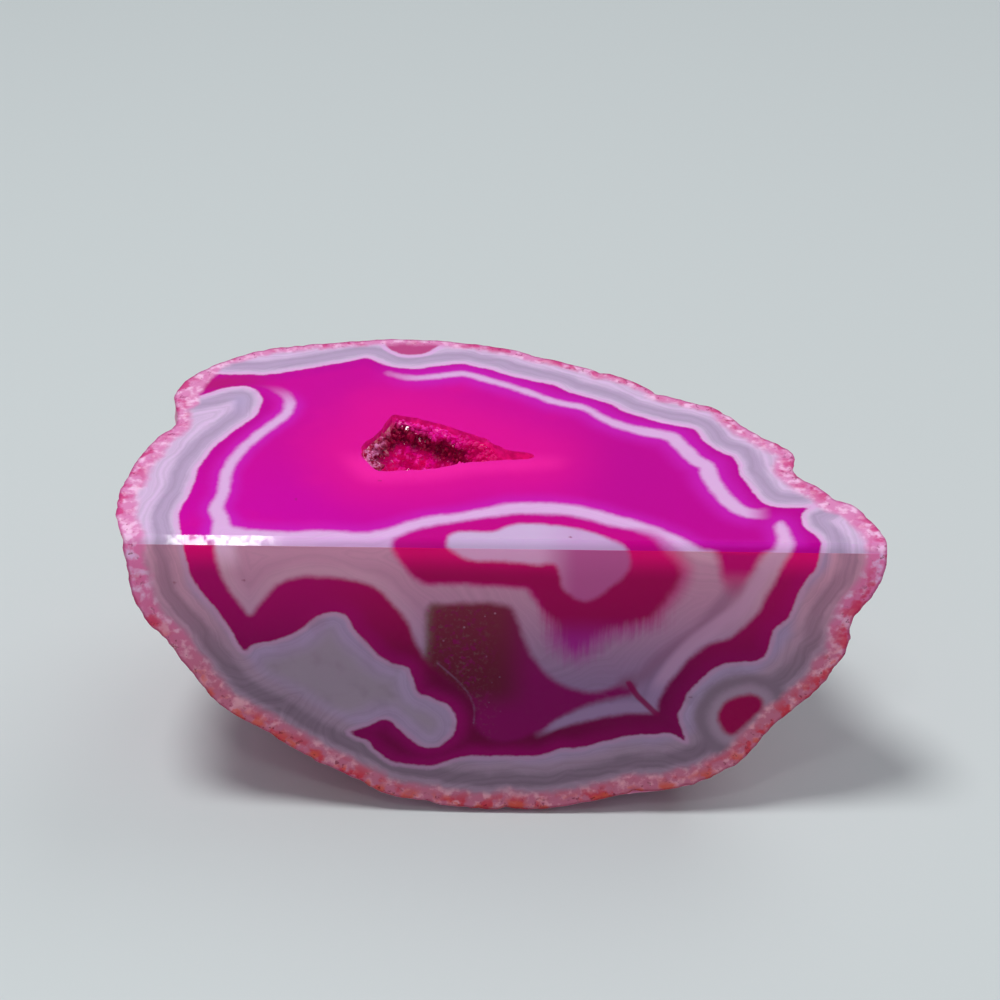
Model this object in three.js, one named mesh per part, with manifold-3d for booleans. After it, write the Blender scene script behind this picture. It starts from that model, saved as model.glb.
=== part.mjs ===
import * as THREE from 'three';
import { mergeVertices } from 'three/addons/utils/BufferGeometryUtils.js';
import { ImprovedNoise } from 'three/addons/math/ImprovedNoise.js';
import Module from 'manifold-3d';

const wasm = await Module();
wasm.setup();

// A dyed agate nodule sawn twice. Its two polished flats meet in a straight ridge along X,
// and the natural rind closes the back, the ends and the underside.
// Lengths are in millimetres and angles in degrees.
const ridgeHeight = 34.6;
const topRise = 2;
const frontFall = 85;
const bevelWidth = 1.1;

// The small flat under the stone, which it stands on.
const restCentre = new THREE.Vector2(0, 17);
const restHalfLength = 14;
const restHalfWidth = 9;

// How the rind leaves the flats, as millimetres inwards for each millimetre down.
const flareFront = 1.55;
const flareEnds = 0.3;
const flareBack = -0.35;
const flareGrowth = 2.3;
const leastTurn = 0.1;

// Where the ends of the stone pass into its front and its back, by how far forward they face.
const frontBegins = 0.2;
const backBegins = -0.6;

// The rind runs down in this share of the height before it turns under.
const browShare = 0.45;

// Mesh of the rind, and the relief on it, which fades towards the rim and the foot.
const rimStep = 1.7;
const ringCount = 13;
const evenSteps = 6;
const lumpHeight = 1.1;
const lumpSpan = 8.5;
const knobHeight = 0.5;
const knobSpan = 3.6;
const rimFade = 0.2;
const footFade = 0.15;
const footRoom = 0.6;

// Small vugs in the rind.
const pitCount = 14;
const pitRadius = [1.1, 2.2];
const pitStretch = [0.8, 1.3];
const pitFlattening = [0.6, 1];
const pitRings = [2, 9];

// The crystal pocket in the top flat, and the crust of crystals that lines it.
const pocketDepth = 8.5;
const pocketCentre = new THREE.Vector2(-10, 17.6);
const pocketNarrowing = 0.5;
const pocketRounding = 1.6;
const pocketShift = 1.6;
const pocketStep = 1.5;
const pocketLevels = 5;
const crustGap = 0.35;
const crustHollow = 0.86;
const crustFloor = 1.6;
const crustEnd = -1;
const wallCrystals = 28;
const floorCrystals = 12;
const crystalRadius = [0.5, 0.9];
const crystalLength = [1.2, 2];
const crystalShaft = [0.35, 0.6];
const crystalTaper = 0.92;
const crystalStep = 1.1;
const crystalRoot = 0.3;
const crystalLean = 0.3;
const crystalRise = 2.5;
const cutterOverrun = 1;

// Edge of the top flat, as distance along the ridge and distance back from it,
// from the left end of the ridge round the back to the right end.
const topRim = [
  [-40.9, 0], [-42.1, 6], [-41.6, 11.3], [-40.5, 16], [-38.9, 19.9], [-37.3, 21.4], [-37.3, 22.6],
  [-38.4, 27.5], [-38.1, 29.9], [-35.9, 33.3], [-32.9, 36], [-28.5, 38.4], [-22.9, 39.6],
  [-13, 41], [-6.8, 40.4], [-1.2, 39.3], [5.3, 36.5], [12.4, 33.3], [16.2, 30.4], [17.2, 29],
  [19.1, 29], [20.8, 27.6], [22.6, 27.2], [25.3, 24.6], [26.7, 22.4], [30, 19.3], [31.6, 17.6],
  [31.3, 14.1], [32.6, 11.7], [34, 10.9], [35.2, 8.8], [37.1, 7.8], [39, 4.2], [40.2, 0],
];

// Edge of the front flat, as distance along the ridge and distance down from it,
// from the right end of the ridge round the bottom to the left end.
const frontRim = [
  [40.2, 0], [39.8, 3.6], [38.9, 5.7], [36.9, 8.9], [36.9, 11.5], [35.9, 14.1], [34.3, 17],
  [30.7, 20.9], [28.6, 23.3], [27.3, 25.9], [23.7, 28.8], [20.6, 30.4], [17.3, 31], [15.1, 31],
  [10.4, 32.6], [7.6, 33.3], [3.3, 33.8], [-0.9, 33.9], [-4.9, 33.9], [-9.2, 33], [-13.4, 32],
  [-16.8, 30.1], [-22.1, 27.1], [-26.6, 23.8], [-31.8, 20], [-34.1, 16.5], [-36.9, 12.2],
  [-39.2, 9.3], [-40.1, 6.9], [-40.5, 2.8], [-40.9, 0],
];

// Mouth of the pocket on the top flat, in the same two distances as its edge.
const pocketMouth = [
  [-13.4, 24.6], [-10, 23.7], [-6, 21.8], [-2, 19.4], [-0.7, 17.9], [2.6, 16.9], [4, 16.4],
  [2.7, 15.8], [-1.1, 15.3], [-4.9, 14.7], [-8.6, 13.5], [-13.9, 12.9], [-15.2, 13.5],
  [-16.7, 16.7], [-16.6, 18], [-14.8, 21.1],
];

const noise = new ImprovedNoise();
THREE.MathUtils.seededRandom(17);

function between(low, high) {
  return THREE.MathUtils.lerp(low, high, THREE.MathUtils.seededRandom());
}

function onTop(x, back, depth = 0) {
  const rise = THREE.MathUtils.degToRad(topRise);
  return new THREE.Vector3(
    x,
    back * Math.cos(rise) + depth * Math.sin(rise),
    ridgeHeight + back * Math.sin(rise) - depth * Math.cos(rise),
  );
}

function onFront(x, down) {
  const fall = THREE.MathUtils.degToRad(frontFall);
  return new THREE.Vector3(x, -down * Math.cos(fall), ridgeHeight - down * Math.sin(fall));
}

// Points at even steps along a smooth line through an outline, without its last point.
function walk(outline, step) {
  const line = new THREE.CatmullRomCurve3(
    outline.map(([a, b]) => new THREE.Vector3(a, b, 0)), false, 'centripetal',
  );
  const count = Math.round(line.getLength() / step);
  return line.getSpacedPoints(count).slice(0, -1).map((p) => [p.x, p.y]);
}

function toSolid(positions, indices) {
  const geometry = new THREE.BufferGeometry();
  geometry.setAttribute('position', new THREE.Float32BufferAttribute(positions, 3));
  geometry.setIndex(indices);
  return weld(geometry);
}

function weld(geometry) {
  geometry.deleteAttribute('normal');
  geometry.deleteAttribute('uv');
  const merged = mergeVertices(geometry, 1e-4);
  return new wasm.Manifold(new wasm.Mesh({
    numProp: 3,
    vertProperties: new Float32Array(merged.attributes.position.array),
    triVerts: new Uint32Array(merged.index.array),
  }));
}

function toGeometry(solid) {
  const mesh = solid.getMesh();
  const indexed = new THREE.BufferGeometry();
  indexed.setAttribute('position', new THREE.BufferAttribute(mesh.vertProperties, 3));
  indexed.setIndex(new THREE.BufferAttribute(mesh.triVerts, 1));
  const geometry = indexed.toNonIndexed();
  geometry.computeVertexNormals();
  return geometry;
}

function reachOf(p) {
  return Math.hypot(p.x - restCentre.x, p.y - restCentre.y);
}

// The profile of the rind from one point of the rim to the flat below, as distance from the
// middle of that flat and height. Below the rim it follows the evened rim, so that the
// chipped edge doesn't run down the stone as folds.
function rindProfile(rimPoint, evenPoint, angle) {
  const foot = restHalfLength * restHalfWidth
    / Math.hypot(restHalfWidth * Math.cos(angle), restHalfLength * Math.sin(angle));
  const forward = -Math.sin(angle);
  const backward = Math.max(forward, backBegins);
  const flare = forward > frontBegins
    ? Math.min(flareFront, flareEnds + flareGrowth * (forward - frontBegins))
    : THREE.MathUtils.mapLinear(backward, frontBegins, backBegins, flareEnds, flareBack);
  const reach = reachOf(evenPoint);
  const drop = evenPoint.z;
  const turn = Math.max(foot + 1, reach - Math.max(flare, leastTurn) * drop);
  return new THREE.CubicBezierCurve(
    new THREE.Vector2(reachOf(rimPoint), rimPoint.z),
    new THREE.Vector2(reach - flare * browShare * drop, (1 - browShare) * drop),
    new THREE.Vector2(turn, 0),
    new THREE.Vector2(foot, 0),
  );
}

// How far the rind stands out from its profile at a point: broad lumps with knobs on them.
function rindRelief(p) {
  const lumps = noise.noise(p.x / lumpSpan, p.y / lumpSpan + 4, p.z / lumpSpan);
  const knobs = noise.noise(p.x / knobSpan, p.y / knobSpan, p.z / knobSpan + 7);
  return lumpHeight * lumps + knobHeight * knobs;
}

function makeRib(rimPoint, index, rim) {
  const angle = Math.atan2(rimPoint.y - restCentre.y, rimPoint.x - restCentre.x);
  const evenPoint = new THREE.Vector3();
  for (let step = -evenSteps; step <= evenSteps; step += 1) {
    const neighbour = rim[(index + step + rim.length) % rim.length];
    evenPoint.addScaledVector(neighbour, 1 / (2 * evenSteps + 1));
  }
  const profile = rindProfile(rimPoint, evenPoint, angle);
  const rib = [];
  for (let ring = 0; ring <= ringCount; ring += 1) {
    const t = ring / ringCount;
    const at = profile.getPoint(t);
    const along = profile.getTangent(t);
    const place = new THREE.Vector3(
      restCentre.x + at.x * Math.cos(angle), restCentre.y + at.x * Math.sin(angle), at.y,
    );
    const outward = new THREE.Vector3(
      -along.y * Math.cos(angle), -along.y * Math.sin(angle), along.x,
    );
    const belowRim = THREE.MathUtils.smoothstep(t, 0, rimFade);
    const aboveFoot = THREE.MathUtils.smoothstep(1 - t, 0, footFade);
    const relief = Math.min(belowRim * aboveFoot * rindRelief(place), footRoom * at.y);
    rib.push(place.addScaledVector(outward, relief));
  }
  return rib;
}

const topEdge = walk(topRim, rimStep);
const frontEdge = walk(frontRim, rimStep);
const ribs = [
  ...topEdge.map(([x, back]) => onTop(x, back)),
  ...frontEdge.map(([x, down]) => onFront(x, down)),
].map(makeRib);

function makeRind() {
  const positions = ribs.flat().flatMap((p) => p.toArray());
  const indices = [];
  const at = (rib, ring) => (rib % ribs.length) * (ringCount + 1) + ring;
  for (let rib = 0; rib < ribs.length; rib += 1) {
    for (let ring = 0; ring < ringCount; ring += 1) {
      indices.push(at(rib, ring), at(rib + 1, ring), at(rib, ring + 1));
      indices.push(at(rib + 1, ring), at(rib + 1, ring + 1), at(rib, ring + 1));
    }
  }
  const face = (outline, vertex, flipped) => {
    const flat = outline.map(([x, y]) => new THREE.Vector2(x, y));
    for (const triangle of THREE.ShapeUtils.triangulateShape(flat, [])) {
      const corners = triangle.map(vertex);
      indices.push(...(flipped ? corners.reverse() : corners));
    }
  };
  face([...topEdge, frontEdge[0]], (i) => at(i, 0), false);
  face([...frontEdge, topEdge[0]], (i) => at(topEdge.length + i, 0), true);
  face(ribs.map((rib) => [rib[ringCount].x, rib[ringCount].y]), (i) => at(i, ringCount), true);
  return toSolid(positions, indices);
}

// A bar whose lower side shaves the sharp ridge off to a narrow bevel.
function makeBevelCutter() {
  const length = 100;
  const size = 6;
  const bar = new THREE.BoxGeometry(length, size, size);
  const halfCorner = THREE.MathUtils.degToRad(90 - (frontFall - topRise) / 2);
  bar.translate(0, 0, size / 2 - bevelWidth / 2 / Math.tan(halfCorner));
  bar.rotateX(THREE.MathUtils.degToRad((frontFall + topRise) / 2));
  bar.translate(0, 0, ridgeHeight);
  return weld(bar);
}

// An outline of the pocket at some depth, drawn in from the wall by an even margin.
function pocketRing(outline, depth, margin) {
  const share = THREE.MathUtils.clamp(depth / pocketDepth, 0, 1);
  const narrowing = 1 - pocketNarrowing * share ** pocketRounding;
  const shift = pocketShift * share;
  const points = outline.map(([x, back]) => new THREE.Vector2(
    pocketCentre.x + (x - pocketCentre.x) * narrowing,
    pocketCentre.y + (back - pocketCentre.y) * narrowing + shift,
  ));
  return points.map((p, i) => {
    const before = points[(i + points.length - 1) % points.length];
    const after = points[(i + 1) % points.length];
    const along = after.clone().sub(before).normalize();
    return new THREE.Vector2(p.x + along.y * margin, p.y - along.x * margin);
  });
}

function makePocket(outline, margin, topDepth, bottomDepth) {
  const smooth = walk([...outline, outline[0]], pocketStep);
  const positions = [];
  for (let level = 0; level <= pocketLevels; level += 1) {
    const depth = THREE.MathUtils.lerp(topDepth, bottomDepth, level / pocketLevels);
    for (const p of pocketRing(smooth, depth, margin)) {
      positions.push(...onTop(p.x, p.y, depth).toArray());
    }
  }
  const count = smooth.length;
  const indices = [];
  for (let level = 0; level < pocketLevels; level += 1) {
    for (let i = 0; i < count; i += 1) {
      const next = (i + 1) % count;
      const a = level * count + i;
      const b = level * count + next;
      indices.push(a, b, a + count, b, b + count, a + count);
    }
  }
  const middle = onTop(pocketCentre.x, pocketCentre.y, topDepth);
  const floor = onTop(pocketCentre.x, pocketCentre.y + pocketShift, bottomDepth);
  positions.push(...middle.toArray(), ...floor.toArray());
  const last = pocketLevels * count;
  for (let i = 0; i < count; i += 1) {
    const next = (i + 1) % count;
    indices.push(next, i, last + count);
    indices.push(last + i, last + next, last + count + 1);
  }
  return toSolid(positions, indices);
}

// One quartz crystal: a six-sided prism with a six-sided point, its foot at the origin.
function makeCrystal(radius, length) {
  const shaft = length * between(...crystalShaft);
  const profile = [[0, 0], [radius, 0], [radius * crystalTaper, shaft], [0, length]];
  return new THREE.LatheGeometry(profile.map(([r, z]) => new THREE.Vector2(r, z)), 6);
}

// A crystal that grows from the lining's wall or floor towards the mouth of the pocket.
function placeCrystal(outline, floorDepth, onWall) {
  const depth = onWall ? between(0.8, floorDepth - 0.6) : floorDepth + crystalRoot;
  const ring = pocketRing(outline, depth, -crystalRoot);
  const p = ring[Math.floor(between(0, ring.length - 0.01))];
  const middle = new THREE.Vector2(pocketCentre.x, pocketCentre.y + pocketShift / 2);
  p.lerp(middle, onWall ? 0 : between(0.1, 0.9));
  const foot = onTop(p.x, p.y, depth);
  const target = p.clone().lerp(middle, onWall ? 0.6 : 0.2);
  const lean = new THREE.Vector3(between(-1, 1), between(-1, 1), between(-1, 1));
  const aim = onTop(target.x, target.y, depth - crystalRise).sub(foot).normalize();
  aim.addScaledVector(lean, crystalLean).normalize();
  const crystal = makeCrystal(between(...crystalRadius), between(...crystalLength));
  const up = new THREE.Vector3(0, 1, 0);
  crystal.rotateY(between(0, Math.PI));
  crystal.applyQuaternion(new THREE.Quaternion().setFromUnitVectors(up, aim));
  crystal.translate(foot.x, foot.y, foot.z);
  return weld(crystal);
}

function makeCrust() {
  const outline = pocketMouth.filter(([x]) => x < crustEnd);
  const inner = outline.map(([x, back]) => [
    THREE.MathUtils.lerp(pocketCentre.x, x, crustHollow),
    THREE.MathUtils.lerp(pocketCentre.y, back, crustHollow),
  ]);
  const floorDepth = pocketDepth - crustGap - crustFloor;
  const outer = makePocket(outline, crustGap, crustGap, pocketDepth - crustGap);
  let crust = outer.subtract(makePocket(inner, 0, -cutterOverrun, floorDepth));
  const smooth = walk([...inner, inner[0]], crystalStep);
  for (let i = 0; i < wallCrystals + floorCrystals; i += 1) {
    crust = crust.add(placeCrystal(smooth, floorDepth, i < wallCrystals));
  }
  const shells = crust.intersect(outer).decompose();
  return shells.reduce((largest, shell) => (shell.volume() > largest.volume() ? shell : largest));
}

// Small vugs in the rind, each a rough ball taken out of its surface.
function makePits() {
  const pits = [];
  for (let i = 0; i < pitCount; i += 1) {
    const rib = ribs[Math.floor((i + between(0.1, 0.9)) / pitCount * topEdge.length)];
    const ball = new THREE.IcosahedronGeometry(between(...pitRadius), 1);
    ball.scale(between(...pitStretch), between(...pitStretch), between(...pitFlattening));
    ball.rotateZ(between(0, Math.PI));
    ball.translate(...rib[Math.floor(between(...pitRings))].toArray());
    pits.push(weld(ball));
  }
  return pits;
}

let stone = makeRind().subtract(makeBevelCutter());
stone = stone.subtract(makePocket(pocketMouth, 0, -cutterOverrun, pocketDepth));
for (const pit of makePits()) {
  stone = stone.subtract(pit);
}

const agateMaterial = new THREE.MeshStandardMaterial({ color: 0xb81578, roughness: 0.18 });
const crystalMaterial = new THREE.MeshStandardMaterial({ color: 0xe0559f, roughness: 0.1 });

const agate = new THREE.Mesh(toGeometry(stone), agateMaterial);
agate.name = 'agate';
const crust = new THREE.Mesh(toGeometry(makeCrust()), crystalMaterial);
crust.name = 'crystal_crust';

const specimen = new THREE.Group();
specimen.add(agate, crust);
const box = new THREE.Box3().setFromObject(agate);
specimen.position.set(-(box.min.x + box.max.x) / 2, -(box.min.y + box.max.y) / 2, -box.min.z);

export default specimen;
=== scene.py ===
import math
import random
import bmesh
import bpy
import numpy as np
from mathutils import Matrix, Vector, noise
from mathutils.kdtree import KDTree


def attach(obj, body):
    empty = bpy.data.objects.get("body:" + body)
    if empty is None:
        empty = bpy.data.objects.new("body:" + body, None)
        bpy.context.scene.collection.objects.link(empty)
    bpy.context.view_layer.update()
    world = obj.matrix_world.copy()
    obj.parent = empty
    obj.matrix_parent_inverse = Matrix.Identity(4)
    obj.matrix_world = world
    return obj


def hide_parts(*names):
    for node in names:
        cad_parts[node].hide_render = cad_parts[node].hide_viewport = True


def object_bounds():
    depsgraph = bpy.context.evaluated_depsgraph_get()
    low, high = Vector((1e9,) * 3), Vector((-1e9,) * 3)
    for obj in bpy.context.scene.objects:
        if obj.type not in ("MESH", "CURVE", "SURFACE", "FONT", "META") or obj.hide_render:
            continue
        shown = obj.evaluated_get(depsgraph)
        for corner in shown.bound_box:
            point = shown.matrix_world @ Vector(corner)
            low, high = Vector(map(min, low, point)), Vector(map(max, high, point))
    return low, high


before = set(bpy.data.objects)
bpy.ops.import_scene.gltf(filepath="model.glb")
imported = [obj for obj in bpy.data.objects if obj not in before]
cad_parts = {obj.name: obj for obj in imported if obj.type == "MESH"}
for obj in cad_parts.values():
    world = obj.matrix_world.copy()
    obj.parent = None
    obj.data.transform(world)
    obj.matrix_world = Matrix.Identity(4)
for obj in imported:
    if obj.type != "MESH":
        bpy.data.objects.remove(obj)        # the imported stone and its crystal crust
cadLow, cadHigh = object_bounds()
mm = 0.001

# The two polished flats meet at the ridge. Lengths are in millimetres.
cut = {
    "ridge": (0.988, -19.586, 34.6),     # middle of the sharp ridge, before its bevel
    "topRise": 2.0,                      # degrees the top flat climbs to the back
    "frontFall": 85.0,                   # degrees the front flat drops
    "bevel": 1.1,
}
ridge = Vector(cut["ridge"]) * mm
topTilt = math.radians(cut["topRise"])
frontTilt = math.radians(cut["frontFall"])
halfTilt = (frontTilt - topTilt) / 2
middleTilt = (frontTilt + topTilt) / 2


def facing(tilt):                        # outward normal of a flat that falls forward by tilt
    return Vector((0, -math.sin(tilt), math.cos(tilt)))


bevelDrop = cut["bevel"] / 2 * math.tan(halfTilt)
flats = {
    "top": (ridge, facing(topTilt)),
    "front": (ridge, facing(frontTilt)),
    "bevel": (ridge - facing(middleTilt) * bevelDrop * mm, facing(middleTilt)),
    "base": (Vector((0, 0, 0)), Vector((0, 0, -1))),
}

print("camera")
view = {
    "fromRidge": (-0.954, -205.983, 139.149),   # where the lens is, from the ridge's middle
    "lookDown": 33.0,
    "roll": 0.75,
    "lens": 85.0,
}
cameraData = bpy.data.cameras.new("camera")
cameraData.lens = view["lens"]
cameraData.clip_start = 0.01
camera = bpy.data.objects.new("camera", cameraData)
camera.location = ridge + Vector(view["fromRidge"]) * mm
lookDown = Matrix.Rotation(math.radians(90 - view["lookDown"]), 3, "X")
camera.rotation_euler = (lookDown @ Matrix.Rotation(math.radians(view["roll"]), 3, "Z")).to_euler()
bpy.context.scene.collection.objects.link(camera)
bpy.context.scene.camera = camera


def useOnly(piece):                      # operators then act on this piece alone
    bpy.ops.object.select_all(action="DESELECT")
    piece.select_set(True)
    bpy.context.view_layer.objects.active = piece


def copyOfNode(node, name):
    piece = bpy.data.objects.new(name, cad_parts[node].data.copy())
    piece.data.materials.clear()
    bpy.context.scene.collection.objects.link(piece)
    useOnly(piece)
    bpy.ops.object.mode_set(mode="EDIT")
    bpy.ops.mesh.select_all(action="SELECT")
    bpy.ops.mesh.remove_doubles(threshold=0.001 * mm)
    bpy.ops.object.mode_set(mode="OBJECT")
    return piece


def addModifier(piece, kind, **settings):
    modifier = piece.modifiers.new(kind.lower(), kind)
    for name, value in settings.items():
        setattr(modifier, name, value)
    useOnly(piece)
    bpy.ops.object.modifier_apply(modifier=modifier.name)


def coordinates(mesh):
    flat = np.empty(len(mesh.vertices) * 3, dtype=np.float32)
    mesh.vertices.foreach_get("co", flat)
    return flat.reshape(-1, 3).astype(np.float64)


print("stone")
stoneShape = {
    "overrun": 2.2,                      # the flats are pushed out this far, then cut back clean
    "voxel": 0.42,
    "smoothing": 6,
    "merge": 0.01,
    "grid": 0.36,                        # spacing of the mesh on the two polished flats
    "gridShift": 0.31,                   # share of it, so that no grid line runs along an edge
    "sliver": 1e-4,                      # smaller faces on a flat count as polished
    "lift": 0.45,
    "relief": [(2.6, 0.34), (1.1, 0.22), (0.5, 0.10)],   # rind grain: span and height
    "pits": {"span": 1.9, "reach": 0.45, "depth": 0.25},
    "pocketLip": 0.9,                    # this far round the pocket, rough faces are its wall
}


def onPlane(place, flat, reach=0.02):
    point, normal = flats[flat]
    return abs((place - point).dot(normal)) < reach * mm


def padFlats(piece):                     # the outline of every flat goes straight on outwards
    padded = ("top", "front", "base")
    mesh = piece.data
    for part in (*mesh.vertices, *mesh.edges):
        part.select = False
    for polygon in mesh.polygons:
        polygon.select = any(onPlane(polygon.center, flat) and polygon.normal.dot(flats[flat][1]) > 0.99
                             for flat in flats)
    useOnly(piece)
    bpy.ops.object.mode_set(mode="EDIT")
    bpy.ops.mesh.select_mode(type="FACE")
    bpy.ops.mesh.extrude_region_move()
    bpy.ops.mesh.select_mode(type="VERT")
    bpy.ops.object.mode_set(mode="OBJECT")
    cap = {vertex.index: vertex.co.copy() for vertex in mesh.vertices if vertex.select}
    for flat in padded:
        chosen = {index for index, place in cap.items() if onPlane(place, flat)}
        for part in (*mesh.polygons, *mesh.edges):
            part.select = False
        for vertex in mesh.vertices:
            vertex.select = vertex.index in chosen
        bpy.ops.object.mode_set(mode="EDIT")
        bpy.ops.transform.translate(value=flats[flat][1] * stoneShape["overrun"] * mm)
        bpy.ops.object.mode_set(mode="OBJECT")


def roughen(piece):                      # fine grain of the rind, inwards only
    relief = piece.data.attributes.new("relief", "FLOAT", "POINT")
    pits = stoneShape["pits"]
    normals = [vertex.normal.copy() for vertex in piece.data.vertices]
    for vertex, normal in zip(piece.data.vertices, normals):
        place = vertex.co / mm
        depth = 0.0
        for span, height in stoneShape["relief"]:
            depth += height * (0.5 + 0.5 * noise.noise(place / span))
        fromPit = noise.voronoi(place / pits["span"])[0][0]
        depth += pits["depth"] * max(0.0, pits["reach"] - fromPit) / pits["reach"]
        relief.data[vertex.index].value = depth
        vertex.co -= normal * (depth - stoneShape["lift"]) * mm


def sawOff(piece, flat):
    point, normal = flats[flat]
    useOnly(piece)
    bpy.ops.object.mode_set(mode="EDIT")
    bpy.ops.mesh.select_all(action="SELECT")
    bpy.ops.mesh.bisect(plane_co=point, plane_no=normal, use_fill=True, clear_outer=True, threshold=1e-7)
    bpy.ops.object.mode_set(mode="OBJECT")


def onFlat(face, flat):
    return onPlane(face.calc_center_median(), flat) and face.normal.dot(flats[flat][1]) > 0.99


def gridFlats(piece):                    # an even mesh on the flats, to carry the pattern
    step = stoneShape["grid"] * mm
    mesh = bmesh.new()
    mesh.from_mesh(piece.data)
    for flat, tilt in (("top", topTilt), ("front", frontTilt), ("bevel", middleTilt)):
        faces = [face for face in mesh.faces if onFlat(face, flat)]
        geometry = list({part for face in faces for part in (*face.verts, *face.edges, face)})
        for direction in (Vector((1, 0, 0)), Vector((0, math.cos(tilt), math.sin(tilt)))):
            reach = [(v.co - ridge).dot(direction) for face in faces for v in face.verts]
            faces = []
            for i in range(math.ceil(min(reach) / step), math.ceil(max(reach) / step)):
                plane = ridge + direction * (i + stoneShape["gridShift"]) * step
                result = bmesh.ops.bisect_plane(
                    mesh, geom=geometry, dist=1e-8, plane_co=plane, plane_no=direction)
                geometry = result["geom"]
            faces = [part for part in geometry if isinstance(part, bmesh.types.BMFace)]
    bmesh.ops.remove_doubles(mesh, verts=mesh.verts, dist=stoneShape["merge"] * mm)
    mesh.to_mesh(piece.data)
    mesh.free()


def keepInside(piece):                   # no grain stands out of the CAD model's box
    for vertex in piece.data.vertices:
        for axis in range(3):
            vertex.co[axis] = min(max(vertex.co[axis], cadLow[axis]), cadHigh[axis])


stone = copyOfNode("agate", "banded_stone")
padFlats(stone)
addModifier(stone, "REMESH", mode="VOXEL", voxel_size=stoneShape["voxel"] * mm)
addModifier(stone, "SMOOTH", factor=0.5, iterations=stoneShape["smoothing"])
print("stone remeshed:", len(stone.data.polygons))
roughen(stone)
for flat in ("base", "top", "front", "bevel"):
    sawOff(stone, flat)
print("stone sawn:", len(stone.data.polygons))
gridFlats(stone)
keepInside(stone)
print("flats divided:", len(stone.data.polygons))
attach(stone, "root")
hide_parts("agate")

print("bands")
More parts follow.
